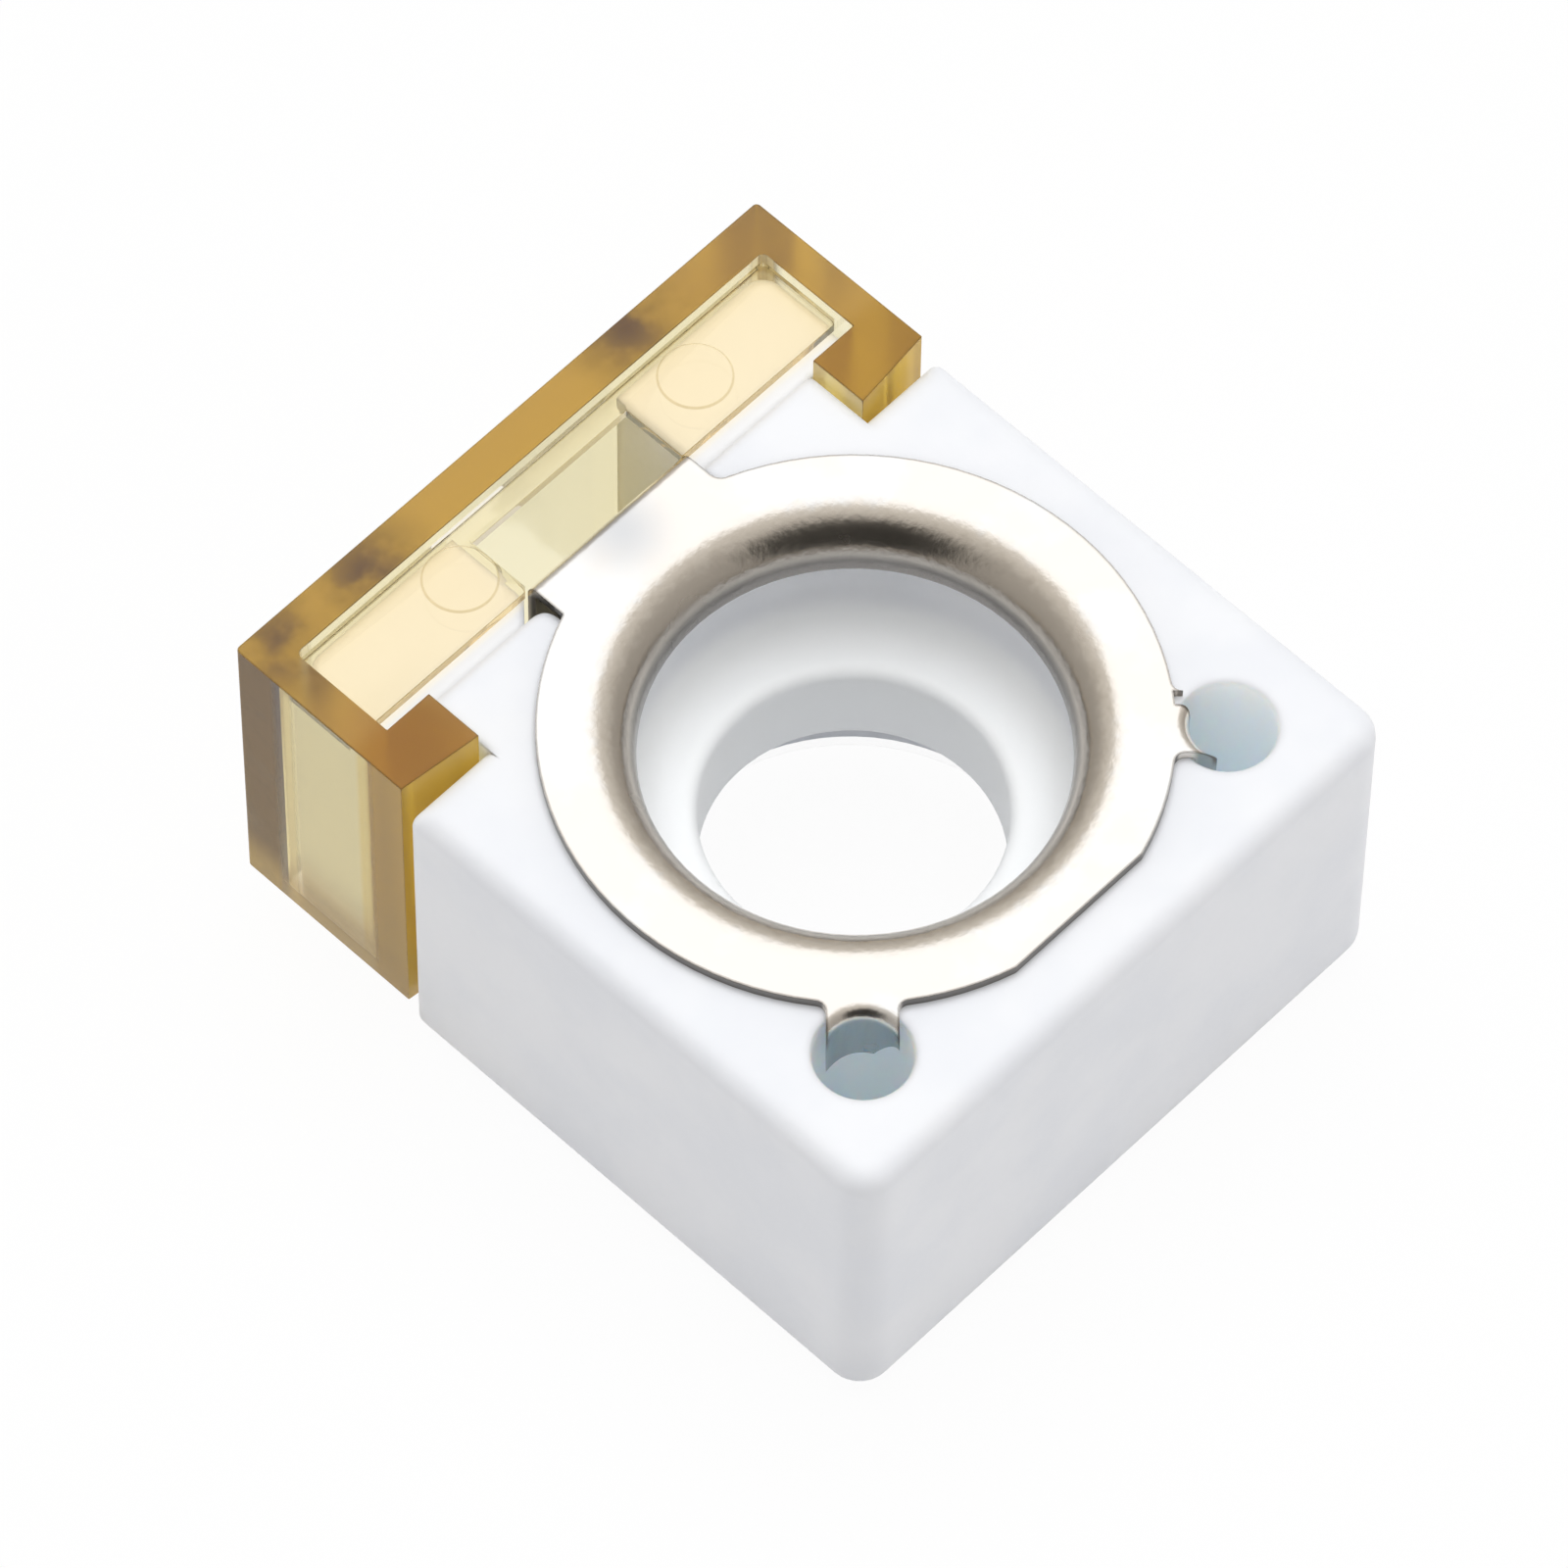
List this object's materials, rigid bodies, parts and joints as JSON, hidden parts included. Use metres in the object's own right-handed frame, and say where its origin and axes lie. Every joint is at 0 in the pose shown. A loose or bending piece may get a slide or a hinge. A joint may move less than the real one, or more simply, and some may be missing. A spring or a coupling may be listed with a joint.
{
  "type": "battery terminal fuse",
  "caption": "Stud-mounted battery fuse: a ceramic block with folded metal contact rings round a countersunk stud hole, and a transparent amber window over the fusible link.",
  "frame": {"origin": "centre of the stud hole, at the middle of the fuse's height", "axes": "+Z along the stud hole's axis, out of the face that the window's rim stands above; the window faces -Y; +X completes the right-handed frame"},
  "size_m": [0.0202, 0.0233, 0.012],
  "materials": {
    "ceramic": "fine, slightly bluish white, satin technical ceramic",
    "tinned_strip": "bright tin plate with a warm tint, brushed and a little mottled round the rolled lip",
    "amber_window": "clear amber moulded plastic, darker where it is seen edge-on"
  },
  "bodies": {
    "root": {"ceramic_body": "ceramic", "fuse_strip": "tinned_strip", "window_cover": "amber_window"}
  },
  "joints": []
}
